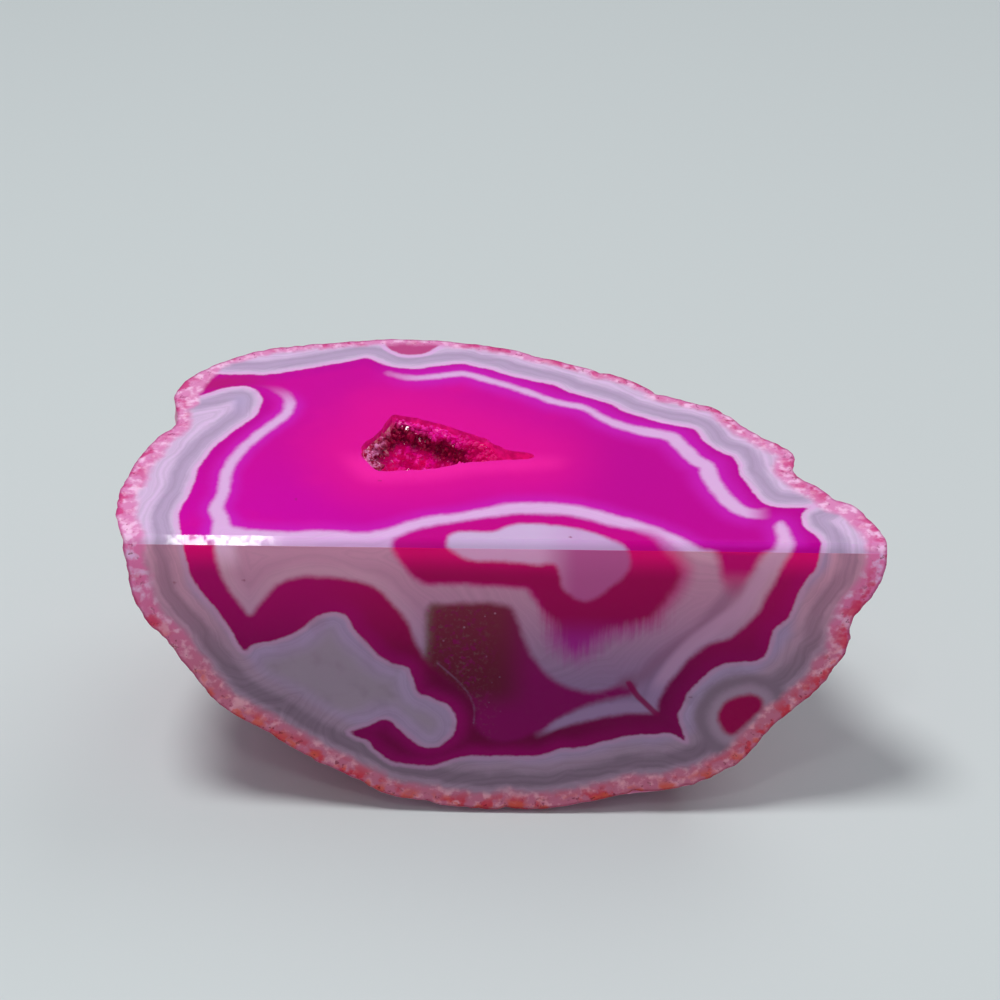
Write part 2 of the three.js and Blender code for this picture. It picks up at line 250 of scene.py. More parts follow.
# Outlines on the unfolded flats: x along the ridge, then distance up the top flat, or down the
# front one with a minus sign. Each becomes an attribute, the distance in from its outline.
bands = {
    "dye": [    # edge of the grey outer zone, with everything magenta inside it
        (-34.5, 0), (-35.3, 4.4), (-34.8, 7.3), (-34.4, 10.5), (-34.1, 13.6), (-32.9, 17.3),
        (-31.1, 20.6), (-29.2, 23.4), (-28.5, 25.4), (-28.5, 27.5), (-29, 29), (-29.9, 29.8),
        (-31.1, 30.1), (-33, 29.6), (-35.1, 28.2), (-37.3, 27.4), (-40, 27.2), (-40, 30.2),
        (-38.4, 31.2), (-36.6, 32.1), (-34.6, 32.7), (-30, 32.8), (-27.5, 33), (-23.1, 34.5),
        (-18.8, 36), (-16.8, 36.7), (-14.7, 35.3), (-13.1, 34.7), (-11.3, 34.5), (-9, 35.1),
        (-5.7, 35.7), (-4.2, 35.2), (-2.1, 34.5), (0, 33.3), (3.9, 31.8), (5.5, 31.1), (7.1, 29.7),
        (8.6, 29), (11.7, 27.3), (12.8, 26.1), (14.2, 25.2), (17.3, 23.6), (20.6, 22.5),
        (21.4, 21.4), (22.2, 19.3), (23.7, 17.7), (24.8, 16.9), (25.3, 15.5), (25.5, 13.3),
        (26.9, 9.2), (27.8, 7.9), (29, 7.3), (31.9, 7.2), (33.2, 7.7), (31.9, 6.6), (31.4, 5.3),
        (31.6, 3.6), (32.8, 1.6), (33.1, 0), (32.5, -2.7), (31.8, -3.9), (31.2, -5.3),
        (30.4, -7.7), (30.1, -8.8), (28.7, -10.1), (28.4, -11.1), (28.1, -13.2), (27.5, -13.9),
        (26.7, -14.3), (24.3, -14.6), (23, -15), (21.2, -16.6), (19.9, -18.4), (19.2, -20.6),
        (19, -21.9), (19.5, -23.6), (19.8, -24.7), (18.6, -23.9), (17.3, -23.8), (13.7, -24.1),
        (10.7, -25), (8.2, -25.8), (6.1, -25.9), (3.8, -26.9), (1, -27), (-2.8, -27), (-4.5, -27.1),
        (-7, -28), (-8.5, -28.4), (-11.5, -28.2), (-12.5, -28), (-13.5, -27.2), (-14.6, -26.2),
        (-15.2, -25.2), (-16.5, -24.6), (-17.2, -24.1), (-16, -23.5), (-15, -23.1), (-13.8, -22.4),
        (-12.8, -22.4), (-11.7, -23.5), (-9.8, -25.4), (-8.6, -25.9), (-7.4, -25.7), (-6.5, -25),
        (-5.8, -24.1), (-5.5, -22.8), (-5.7, -21.5), (-6.5, -20.4), (-8.5, -19.3), (-9.4, -19.1),
        (-9.8, -18.4), (-10.5, -16.2), (-11.1, -15.5), (-13.4, -14.6), (-14.9, -12.8),
        (-16.4, -11.1), (-16.8, -9.9), (-17.5, -9.1), (-18.7, -8.8), (-20.5, -9.4), (-22.3, -11.1),
        (-24.8, -12.4), (-27.3, -13), (-28.1, -13.8), (-28.8, -13.3), (-29.7, -11.3), (-31, -8.8),
        (-32, -7.5), (-33.7, -4.5),
    ],
    "pale": [   # the milky zone inside the front's magenta, and the white line it sends up the top
        (-31.1, 0), (-30.8, -3.1), (-29.9, -5.9), (-28.4, -8.3), (-27.7, -9.3), (-26.9, -8.6),
        (-25.2, -6.3), (-24.3, -5.4), (-21.9, -4.5), (-18.8, -4.5), (-15.6, -5.1), (-14.1, -5.8),
        (-12.9, -7), (-10.9, -9.7), (-9.7, -12.9), (-8.2, -15.4), (-5.9, -17.5), (-4, -19.6),
        (-3.4, -21.2), (-3.6, -22.7), (-2.5, -24.4), (-0.5, -25.2), (1.4, -24.9), (2.9, -24.2),
        (5.4, -23.4), (8.5, -22.4), (11.9, -21.5), (13.6, -21.2), (16.4, -21), (16.7, -19.4),
        (17.9, -16.9), (19.6, -14.4), (21.6, -12.3), (22.8, -11.8), (24, -11.3), (25, -10.4),
        (26.7, -8.3), (27.6, -6.1), (28.7, -3.5), (30.1, 0), (29.9, 2.4), (29.2, 4.6), (28.3, 3.4),
        (28.3, 1), (27, -0.6), (21.5, -0.6), (19.4, 0.4), (18.1, 1.6), (16.9, 2.5), (13.9, 4.2),
        (10.5, 5.8), (7.6, 7), (4.2, 7.5), (0.1, 7.3), (-2.8, 6.3), (-5.6, 5.3), (-8.8, 4.6),
        (-10.7, 3.7), (-12.3, 2.7), (-13.9, 2), (-15.7, 1.6), (-20.3, 1.9), (-22.6, 1.6),
        (-25.8, 1.7), (-28.6, 2.1), (-29.8, 2.6), (-30.9, 2),
    ],
    "lobe": [   # magenta ring across the ridge
        (-12.2, 0.5), (-11, 1.5), (-9.9, 2.3), (-8.3, 3), (-5.6, 3.8), (-2.3, 4.7), (0.1, 5.3),
        (2.3, 5.5), (6.1, 5.3), (7.6, 4.9), (9.3, 4.3), (10.9, 3.5), (14.2, 2.4), (15.6, 1.4),
        (17, -0.4), (18.6, -2.5), (18.9, -3.7), (18.4, -5.1), (16.7, -8), (15.7, -9.2),
        (14.2, -10), (11.2, -11.1), (9.9, -11.7), (8.9, -12.9), (7.9, -13.6), (6.6, -13.4),
        (5.6, -12.5), (4.9, -11.3), (4.7, -10.1), (3.2, -7.7), (2.1, -5.9), (1.3, -5.6),
        (-0.3, -5.5), (-4.4, -5.3), (-8.1, -5.3), (-9.5, -4.9), (-10.5, -4.1), (-11.3, -3),
        (-11.9, -1.8), (-12.4, -0.6),
    ],
    "core": [   # lavender heart of the ring
        (-6.6, 0.2), (-6.4, 1.2), (-5.5, 1.9), (-4.2, 2.1), (-1.6, 2.2), (-0.4, 3), (0.8, 3.6),
        (2.7, 3.7), (4.6, 3.5), (8, 2.7), (10.6, 1.2), (12.3, 0), (13, -1.4), (13.1, -2.5),
        (12.6, -3.7), (11.6, -4.8), (9.8, -6.5), (9, -7), (7.9, -7.1), (6.9, -6.6), (6, -5.9),
        (5.5, -5), (5.4, -3.9), (5, -2.8), (4.3, -2.6), (3.1, -2.7), (-0.3, -2.4), (-3.8, -2.3),
        (-5.6, -1.5), (-6.6, -0.6),
    ],
    "quartz": [     # dark grainy heart of the front, with the purple that it runs into
        (-8.5, -7.9), (-6.8, -7.6), (-2.9, -7.3), (-0.9, -7.5), (0.4, -7.9), (0.9, -8.9),
        (1.9, -11.9), (2.5, -13.6), (3.4, -15), (4.5, -16.4), (5.9, -17.4), (7.6, -18.2),
        (9.6, -18.4), (11.6, -17.8), (13.3, -16.8), (14, -17.6), (13.6, -18.7), (12, -19.2),
        (9.4, -20), (7.5, -20.9), (6, -21.9), (4.6, -23.2), (3, -25.5), (-1, -27), (-5, -25),
        (-5.6, -21.4), (-6.4, -19.4), (-8.2, -17.4), (-9.2, -15.4), (-8.9, -13),
    ],
    "tongue": [  # magenta tongue that hangs from the ridge near its right end
        (21.4, 3), (21.7, 0), (22.2, -2.2), (22.6, -4), (23.3, -6.4), (24.2, -7), (25, -5.4),
        (26, -3.2), (26.9, -1.2), (27.4, 0), (27.8, 3),
    ],
    "eye": [
        (23.3, -22.3), (23.2, -21), (23.7, -19.8), (24.7, -18.8), (26, -18.4), (27.2, -18.5),
        (28.1, -19.2), (28.1, -20.3), (27.2, -21.5), (26.4, -22.5), (25.4, -23.6), (24.6, -23.9),
        (23.8, -23.2),
    ],
    "lens": [   # half-hidden red eye at the back edge
        (-15.2, 41.6), (-14.7, 39.4), (-13.2, 37.9), (-11.7, 37.6), (-10.2, 37.9), (-8.8, 39.2),
        (-8.2, 41.2), (-11.7, 43),
    ],
    "pocket": [
        (-13.4, 24.6), (-10, 23.7), (-6, 21.8), (-2, 19.4), (-0.7, 17.9), (2.6, 16.9), (4.4, 16.2),
        (2.7, 15.8), (-1.1, 15.3), (-4.9, 14.7), (-8.6, 13.5), (-13.9, 12.9), (-15.2, 13.5),
        (-16.7, 16.7), (-16.6, 18), (-14.8, 21.1),
    ],
}
# Lines on the same unfolded flats. Each becomes an attribute too, the distance from the line.
lines = {
    "backWhite": [
        (-14.1, 33.3), (-12.4, 32.6), (-10.3, 32.5), (-6.7, 33.3), (-5, 33.4), (-2.2, 32),
        (1.8, 29.9), (5, 27.8), (8.6, 26.4), (11.3, 23.7), (14.6, 21.9), (17.9, 20.8),
        (18.9, 19.5), (20.7, 16.1), (21.8, 15), (22, 13.3), (22.5, 11.1), (24.1, 7.5), (25.2, 6.4),
        (26.6, 5.9), (28.3, 6.2), (29.8, 6.9),
    ],
    "leftWhite": [
        (-29.4, -4.5), (-30.3, 0), (-30.6, 3.5), (-31.4, 5.5), (-31, 8), (-30.9, 10),
        (-31, 12.4), (-30.4, 15), (-29.5, 17.4), (-28.2, 19.9), (-26.9, 22), (-25.7, 23.8),
        (-25.2, 25.4), (-25.2, 27), (-26, 28.8), (-27.6, 30.3), (-29.6, 31.2),
    ],
    "seam": [(-38.4, 29.2), (-35, 30.4), (-30.5, 31.4), (-26, 31.7), (-21, 33)],
    "lowWhite": [
        (16.3, -20), (13.6, -20.2), (11.5, -20.4), (9.4, -21), (7.7, -21.6), (6, -22.5),
        (4.8, -23.3), (3.5, -24.1),
    ],
    "crack": [(13.3, -17.2), (14.2, -18.7), (15.1, -19.7), (16.5, -21.2)],
    "mauve": [
        (24.2, -5), (22.6, -7.6), (20.6, -10.4), (18, -12.6), (16.2, -14.4), (14.8, -16.2),
        (13, -17),
    ],
    "rightWhite": [
        (28.7, 3), (28.9, 0), (27, -3.4), (25.2, -7.2), (22.6, -9.6), (20, -12), (17.9, -15),
        (16.4, -18.2),
    ],
    "hairLine": [(-7.6, -14.9), (-5.6, -16.9), (-4.1, -18.9), (-3.4, -21.2), (-3.7, -23.2)],
}
specks = [(-14.1, 11.2), (-28.1, -5), (-35.4, -5.4), (20.1, -18.9), (6.5, 1.2), (-23, 7.5)]


def smooth(points, closed, parts=6):     # a curve that passes through every point
    path = np.array(points, dtype=float)
    if closed:
        path = np.vstack([path[-1:], path, path[:2]])
    else:
        path = np.vstack([2 * path[:1] - path[1:2], path, 2 * path[-1:] - path[-2:-1]])
    t = np.linspace(0, 1, parts, endpoint=False)[:, None]
    curve = []
    for a, b, c, d in zip(path[:-3], path[1:-2], path[2:-1], path[3:]):
        bend = 2 * b + (c - a) * t + (2 * a - 5 * b + 4 * c - d) * t**2
        curve.append((bend + (3 * b - a - 3 * c + d) * t**3) / 2)
    curve.append(path[-2:-1])
    return np.vstack(curve)


def distanceFrom(places, curve):
    nearest = np.full(len(places), 1e9)
    for start, end in zip(curve[:-1], curve[1:]):
        run = end - start
        share = ((places - start) @ run) / max(run @ run, 1e-9)
        foot = start + np.clip(share, 0, 1)[:, None] * run
        nearest = np.minimum(nearest, ((places - foot) ** 2).sum(axis=1))
    return np.sqrt(nearest)


def inside(places, curve):
    x, y = places.T
    crossings = np.zeros(len(places), dtype=int)
    for (ax, ay), (bx, by) in zip(curve[:-1], curve[1:]):
        spans = (ay > y) != (by > y)
        if by != ay:
            crossings += spans & (x < ax + (y - ay) * (bx - ax) / (by - ay))
    return crossings % 2 == 1


def unfold(piece):                       # every vertex as x along the ridge and distance across it
    offset = coordinates(piece.data) / mm - np.array(cut["ridge"])
    along = np.array((0, math.cos(middleTilt), math.sin(middleTilt)))
    return np.column_stack([offset[:, 0], offset @ along / math.cos(halfTilt)])


def storeValues(piece, name, values):
    attribute = piece.data.attributes.new(name, "FLOAT", "POINT")
    attribute.data.foreach_set("value", values.astype(np.float32))


def isPolished(polygon):
    tiny = polygon.area < stoneShape["sliver"] * mm**2
    return any(
        onPlane(polygon.center, flat, 0.05) and (polygon.normal.dot(flats[flat][1]) > 0.9 or tiny)
        for flat in ("top", "front", "bevel"))


materialIndex = {"polished": 0, "rind": 1, "wall": 2}    # the stone's materials, in order


def storeBands(piece):
    places = unfold(piece)
    rough = [polygon for polygon in piece.data.polygons if not isPolished(polygon)]
    flat = {v for polygon in piece.data.polygons if isPolished(polygon) for v in polygon.vertices}
    pocketMouth = smooth(bands["pocket"], True)
    plan = (coordinates(piece.data) / mm - np.array(cut["ridge"]))[:, :2]
    nearPocket = distanceFrom(plan, pocketMouth) < stoneShape["pocketLip"]
    edge = {v for polygon in rough for v in polygon.vertices if v in flat}
    edge = sorted(v for v in edge if not nearPocket[v])
    tree = KDTree(len(edge))
    for v in edge:
        tree.insert(piece.data.vertices[v].co, v)
    tree.balance()
    rim = np.array([tree.find(vertex.co)[2] / mm for vertex in piece.data.vertices])
    storeValues(piece, "rim", rim)
    storeValues(piece, "across", places[:, 1])
    for name, outline in bands.items():
        curve = smooth(outline, True)
        depth = distanceFrom(places, curve)
        storeValues(piece, name, np.where(inside(places, curve), depth, -depth))
    for name, route in lines.items():
        storeValues(piece, name, distanceFrom(places, smooth(route, False)))
    inPocket = inside(plan, pocketMouth) | nearPocket
    reach = [np.hypot(*(places - np.array(speck)).T) for speck in specks]
    storeValues(piece, "speck", np.min(reach, axis=0))
    for polygon in rough:
        walls = all(inPocket[v] for v in polygon.vertices) and polygon.center.z > ridge.z / 2
        polygon.material_index = materialIndex["wall"] if walls else materialIndex["rind"]


storeBands(stone)


class Paint:                             # lays down one material's colours, layer over layer
    def __init__(self, name):
        self.material = bpy.data.materials.new(name)
        self.material.use_nodes = True
        self.tree = self.material.node_tree
        self.shader = self.tree.nodes["Principled BSDF"]
        self.place = self.add("ShaderNodeTexCoord").outputs["Object"]

    def add(self, kind, inputs=None, **settings):
        node = self.tree.nodes.new(kind)
        for name, value in settings.items():
            setattr(node, name, value)
        for key, value in (inputs or {}).items():
            self.feed(node.inputs[key], value)
        return node

    def feed(self, socket, value):
        if isinstance(value, bpy.types.NodeSocket):
            self.tree.links.new(value, socket)
        else:
            socket.default_value = value

    def value(self, name):
        return self.add("ShaderNodeAttribute", attribute_name=name).outputs["Fac"]

    def sum(self, operation, a, b):
        return self.add("ShaderNodeMath", {0: a, 1: b}, operation=operation).outputs[0]

    def step(self, value, start, end, low=0.0, high=1.0):    # low before start, high after end
        inputs = {"Value": value, "From Min": start, "From Max": end, "To Min": low, "To Max": high}
        return self.add("ShaderNodeMapRange", inputs, interpolation_type="SMOOTHSTEP").outputs[0]

    def grain(self, span, detail=3.0):   # cloudy noise whose lumps are about span mm wide, 0 to 1
        inputs = {"Vector": self.place, "Scale": 1 / (span * mm), "Detail": detail}
        return self.add("ShaderNodeTexNoise", inputs).outputs["Fac"]

    def cells(self, span):
        inputs = {"Vector": self.place, "Scale": 1 / (span * mm)}
        return self.add("ShaderNodeTexVoronoi", inputs).outputs["Distance"]

    def mix(self, share, below, above):
        inputs = {"Factor": share, 6: below, 7: above}
        return self.add("ShaderNodeMix", inputs, data_type="RGBA").outputs[2]

    def scaled(self, colour, factor):    # lighter or darker by factor
        mixed = self.add("ShaderNodeVectorMath", {0: colour, "Scale": factor}, operation="SCALE")
        return mixed.outputs[0]

    def glow(self, weight, radius, scale):    # light that goes in and comes out again, scale in mm
        self.shader.inputs["Subsurface Weight"].default_value = weight
        self.shader.inputs["Subsurface Radius"].default_value = radius
        self.shader.inputs["Subsurface Scale"].default_value = scale * mm


print("polished face")
light = {"top": 0.95, "front": 0.55}      # share of white that each flat sends to the eye
tones = {   # colours to the eye: the top flat, the front flat under the ridge, and low on it, the low set darker as painted shade
    "outer": ((205, 176, 210), (162, 114, 134), (123, 101, 119)),
    "outerDark": ((172, 149, 181), (138, 96, 116), (98, 80, 95)),
    "outerLine": ((220, 168, 216), (166, 120, 146), (140, 106, 134)),
    "pool": ((176, 156, 196), (126, 106, 120), (120, 104, 118)),
    "poolEdge": ((190, 160, 200), (136, 110, 140), (128, 107, 134)),
    "magenta": ((196, 2, 146), (142, 0, 64), (80, 0, 44)),
    "magentaEdge": ((186, 0, 146), (150, 0, 90), (108, 0, 70)),
    "purple": ((196, 0, 156), (140, 0, 80), (96, 0, 60)),
    "dusky": ((180, 0, 140), (140, 0, 76), (94, 0, 58)),
    "hotPink": ((216, 12, 142), (160, 0, 90), (100, 0, 60)),
    "pocketRim": ((238, 34, 158), (160, 0, 90), (100, 0, 60)),
    "violet": ((194, 30, 180), (150, 20, 110), (112, 20, 92)),
    "white": ((214, 168, 215), (190, 148, 172), (152, 124, 156)),
    "pale": ((216, 170, 218), (168, 120, 140), (117, 92, 123)),
    "paleDark": ((206, 158, 208), (156, 104, 128), (102, 78, 106)),
    "brown": ((120, 30, 60), (104, 32, 52), (74, 16, 36)),
    "green": ((120, 80, 90), (98, 66, 66), (84, 62, 62)),
    "wine": ((150, 0, 110), (108, 2, 66), (98, 4, 66)),
    "ring": ((190, 0, 130), (134, 0, 66), (98, 0, 56)),
    "glow": ((196, 2, 146), (188, 0, 92), (120, 0, 70)),
    "ringTip": ((180, 30, 140), (130, 20, 104), (118, 26, 104)),
    "heart": ((198, 169, 207), (176, 126, 158), (146, 88, 128)),
    "heartDark": ((194, 156, 200), (150, 68, 116), (126, 58, 104)),
    "mauve": ((170, 120, 170), (128, 82, 108), (98, 66, 92)),
    "tongue": ((200, 0, 140), (156, 0, 86), (120, 20, 80)),
    "eye": ((170, 60, 110), (120, 0, 64), (116, 0, 56)),
    "lens": ((182, 70, 128), (160, 40, 90), (120, 20, 60)),
    "seam": ((176, 20, 112), (150, 10, 80), (110, 0, 60)),
    "rind": ((214, 130, 180), (182, 94, 136), (152, 84, 106)),
    "rindLight": ((238, 188, 222), (206, 146, 176), (176, 124, 138)),
    "rindRed": ((200, 50, 120), (170, 20, 66), (160, 34, 44)),
    "rindRust": ((206, 90, 110), (184, 60, 68), (164, 66, 54)),
    "rindDarkAndShade": ((150, 30, 90), (110, 8, 40), (92, 20, 34)),
}


def linear(rgb, level=1.0):              # screen colour as a surface colour under that much light
    parts = [((part / 255 + 0.055) / 1.055) ** 2.4 / level for part in rgb]
    return (*[min(part, 0.92) for part in parts], 1)


def surfaces(seen):
    return {name: linear(rgb) for name, rgb in seen.items()}


polished = Paint("polished_agate")
p = polished


def both(a, b):
    return p.sum("MULTIPLY", a, b)


across = p.value("across")
placeOnStone = p.add("ShaderNodeSeparateXYZ", {0: p.place}).outputs
alongX = p.sum("MULTIPLY", placeOnStone["X"], 1 / mm)
height = p.sum("MULTIPLY", placeOnStone["Z"], 1 / mm)
onFront = p.step(across, -0.7, -0.73)    # the bevel ends 0.734 to each side of the ridge
underRidge = both(p.step(across, -4.5, -0.8), onFront)   # light that comes through from the top
# painted shade: going down the front flat, its colours turn from the set under the ridge to the darker
# low set
frontShadeDown = p.step(across, -1, -19)
wobble = p.sum("ADD", p.sum("MULTIPLY", p.grain(1.7), 0.5), p.sum("MULTIPLY", p.grain(0.45), 0.2))
wobble = p.sum("SUBTRACT", wobble, 0.35)


def tone(name):
    top, near, low = tones[name]
    front = p.mix(frontShadeDown, linear(near, light["front"]), linear(low, light["front"]))
    return p.mix(onFront, linear(top, light["top"]), front)


def depth(name):                         # millimetres in from a band's outline
    return p.sum("ADD", p.value(name), wobble)


def gap(name):                           # millimetres out from it
    return p.sum("MULTIPLY", depth(name), -1)


def window(value, start, full, late, end):   # rises from start to full, falls from late to end
    return both(p.step(value, start, full), p.step(value, end, late))


def lay(below, name, share, strength=1.0):
    return p.mix(both(share, strength), below, tone(name))


rim = p.value("rim")
out = gap("dye")
topStripe = both(window(out, 0.5, 1.3, 2.3, 3.4), p.step(onFront, 1, 0))
frontStripe = both(window(p.sum("ADD", rim, wobble), 2.6, 3.4, 4.2, 5.4), onFront)
colour = lay(tone("outer"), "poolEdge", both(p.step(rim, 5.4, 7.0), onFront))
colour = lay(colour, "outerDark", p.sum("ADD", topStripe, frontStripe), 0.9)
colour = lay(colour, "outerDark", p.step(p.grain(5.0), 0.45, 0.75), 0.25)
colour = lay(colour, "outerLine", p.step(out, 0.7, 0.2), 0.75)


def banded(colour, measure, strength):   # fine uneven layering that follows a band's outline
    shifted = p.sum("ADD", measure, p.sum("MULTIPLY", p.grain(6.0, 1.0), 3.0))
    inputs = {"W": shifted, "Scale": 1.5, "Detail": 4.0}
    layers = p.add("ShaderNodeTexNoise", inputs, noise_dimensions="1D").outputs["Fac"]
    return p.scaled(colour, p.step(layers, 0.25, 0.75, 1 - strength, 1 + strength))


colour = banded(colour, out, 0.09)
colour = lay(colour, "pool", both(p.step(out, 0.8, 3.4), p.step(rim, 5.6, 8.0)))
colour = lay(colour, "outerDark", both(p.step(p.grain(3.5), 0.5, 0.75), p.step(rim, 5.6, 8.0)), 0.35)

dye = depth("dye")
dyed = lay(tone("magentaEdge"), "magenta", p.step(dye, 0.3, 2.4))
leftSide = both(p.step(alongX, -6, -22), p.step(across, 20, 4))
dyed = lay(dyed, "purple", leftSide)
dyed = lay(dyed, "hotPink", p.step(gap("pocket"), 10, 1), 0.9)
dyed = lay(dyed, "hotPink", p.step(p.grain(7.0), 0.5, 0.8), 0.4)
lip = both(p.step(gap("pocket"), 3.4, 0.3), p.step(across, 18, 14))
dyed = lay(dyed, "pocketRim", lip, 0.8)
dyed = lay(dyed, "dusky", p.step(alongX, 3, 15), 0.7)
dyed = lay(dyed, "glow", underRidge, 0.8)
overPale = both(p.step(gap("pale"), 2.4, 0.2), p.step(across, -0.5, 0.5))
dyed = lay(dyed, "violet", overPale, 0.6)
seam = p.sum("ADD", p.value("seam"), wobble)
dyed = lay(dyed, "seam", both(p.step(seam, 2.4, 0.2), p.step(alongX, -24, -33)), 0.9)

backWhite = p.sum("ADD", p.value("backWhite"), wobble)
backShows = both(p.step(alongX, -17, -7), p.step(alongX, 29.5, 26))
backEdge = p.sum("SUBTRACT", backWhite, p.step(alongX, 9, 20, 0.4, 0.8))
dyed = lay(dyed, "violet", both(p.step(backEdge, 3.0, 0.1), backShows), 0.75)
dyed = lay(dyed, "white", both(p.step(backEdge, 0.5, -0.3), backShows))
leftWhite = p.sum("ADD", p.value("leftWhite"), wobble)
leftShows = both(p.step(across, 30.8, 25.5), p.step(across, -0.6, 0.4))
leftEdge = p.sum("SUBTRACT", leftWhite, p.step(across, 10, 1, 0.5, 0.85))
dyed = lay(dyed, "violet", both(p.step(leftEdge, 2.0, 0.1), leftShows), 0.75)
dyed = lay(dyed, "white", both(p.step(leftEdge, 0.5, -0.3), leftShows))

field = lay(tone("pale"), "paleDark", window(depth("pale"), 0.6, 2.2, 30, 40), 0.7)
field = banded(field, depth("pale"), 0.05)
field = lay(field, "white", both(p.step(leftEdge, 1.2, -0.4), underRidge), 0.8)
teeth = (2.6 / mm, 0.4 / mm, 0.25 / mm)  # how closely the comb's noise lies along each axis
stretched = p.add("ShaderNodeVectorMath", {0: p.place, 1: teeth}, operation="MULTIPLY")
comb = {"Vector": stretched.outputs[0], "Scale": 1.0, "Detail": 3.0}
combed = p.add("ShaderNodeTexNoise", comb).outputs["Fac"]
feathered = both(p.step(across, -6.5, -10.5), p.step(alongX, 2, 6))
grains = lay(tone("brown"), "wine", p.step(alongX, -0.5, 4.5))
grains = lay(grains, "wine", p.step(across, -17.5, -22))
browner = p.step(alongX, 1, -3)
grains = lay(grains, "green", both(p.step(depth("quartz"), 1.4, 0.0), p.step(alongX, -5, -8)))
grains = lay(grains, "green", both(p.step(p.grain(0.45, 5.0), 0.5, 0.72), browner), 0.4)
grains = lay(grains, "wine", both(p.step(p.grain(0.7, 5.0), 0.52, 0.68), browner), 0.7)
glitter = both(p.step(p.cells(1.3), 0.13, 0.04), p.step(p.grain(3.0), 0.42, 0.6))
grains = lay(grains, "paleDark", both(glitter, p.step(alongX, 2.5, -2)))
field = p.mix(p.step(depth("quartz"), -0.6, 0.6), field, grains)
field = lay(field, "mauve", p.step(p.value("mauve"), 1.6, 0.0), 0.75)
tongueShape = both(p.step(depth("tongue"), -0.6, 0.8), p.step(across, -7.2, -2.5))
field = lay(field, "tongue", tongueShape)
rightEdge = both(p.step(p.value("rightWhite"), 1.3, 0.3), p.step(across, -19, -16))
field = lay(field, "outerLine", rightEdge, 0.7)
lobe = lay(tone("ring"), "magentaEdge", p.step(depth("lobe"), 0.9, 0.0))
lobe = lay(lobe, "ringTip", p.step(across, -8.5, -12.5), 0.9)
lobe = lay(lobe, "glow", underRidge, 0.8)
fringe = both(p.sum("SUBTRACT", combed, 0.5), both(feathered, 2.2))
lobeDepth = p.sum("ADD", depth("lobe"), fringe)
softness = p.sum("MAXIMUM", feathered, p.step(alongX, 12, 17, 0.0, 0.6))
lobeStart = p.step(softness, 0, 1, -0.45, -2.2)
lobeEnd = p.step(softness, 0, 1, 0.65, 1.6)
field = p.mix(p.step(lobeDepth, lobeStart, lobeEnd), field, lobe)
heart = lay(tone("heart"), "heartDark", p.step(alongX, 3.5, 8.5))
field = p.mix(p.step(depth("core"), -0.3, 0.6), field, heart)
dyed = p.mix(p.step(depth("pale"), -0.4, 0.6), dyed, field)
lowShows = both(p.step(alongX, 3, 8), p.step(alongX, 17, 15.5))
lowWhite = p.sum("ADD", p.value("lowWhite"), wobble)
dyed = lay(dyed, "pale", both(p.step(lowWhite, 0.75, 0.0), lowShows))
dyed = lay(dyed, "ring", p.step(p.value("crack"), 0.5, 0.15), 0.9)
dyed = lay(dyed, "paleDark", p.step(p.value("hairLine"), 0.22, 0.0), 0.35)
colour = p.mix(p.step(dye, -0.12, 0.25), colour, dyed)
colour = lay(colour, "brown", p.step(p.value("speck"), 0.32, 0.1), 0.7)

eyeGap = gap("eye")
ringed = lay(tone("outer"), "outerDark", p.step(eyeGap, 0.5, 1.7), 0.9)
colour = p.mix(both(p.step(eyeGap, 3.3, 1.9), p.step(out, 0.2, 0.7)), colour, ringed)
colour = lay(colour, "white", p.step(gap("lens"), 0.9, 0.4))
colour = lay(colour, "lens", p.step(depth("lens"), -0.15, 0.25))

rindWidth = p.step(across, 12, 30, 2.1, 1.0)
rindWidth = p.sum("ADD", rindWidth, p.sum("MULTIPLY", p.grain(2.4), 1.6))
notch = both(p.step(alongX, -32.0, -35.0), p.step(across, 24.5, 27.0))
rindWidth = p.sum("ADD", rindWidth, p.sum("MULTIPLY", notch, 1.6))
rindDepth = p.sum("SUBTRACT", p.sum("SUBTRACT", rindWidth, 0.8), rim)
crumbs = lay(tone("rind"), "rindLight", p.step(p.grain(1.1), 0.45, 0.68))
redder = both(p.step(p.grain(1.6), 0.45, 0.6), p.step(p.grain(6.0, 1.0), 0.36, 0.5))
crumbs = lay(crumbs, "rindRed", both(redder, p.step(rim, 2.6, 0.3)), 0.85)
rusty = both(p.step(p.grain(2.2), 0.5, 0.62), p.step(across, -8, -16))
crumbs = lay(crumbs, "rindRust", both(rusty, p.step(rim, 1.8, 0.4)), 0.9)
crumbs = lay(crumbs, "rindDarkAndShade", both(p.step(p.grain(0.6), 0.6, 0.7), p.step(rim, 2.0, 0.6)), 0.7)
crumbs = lay(crumbs, "rindDarkAndShade", p.step(rim, 0.4, 0.0), 0.6)
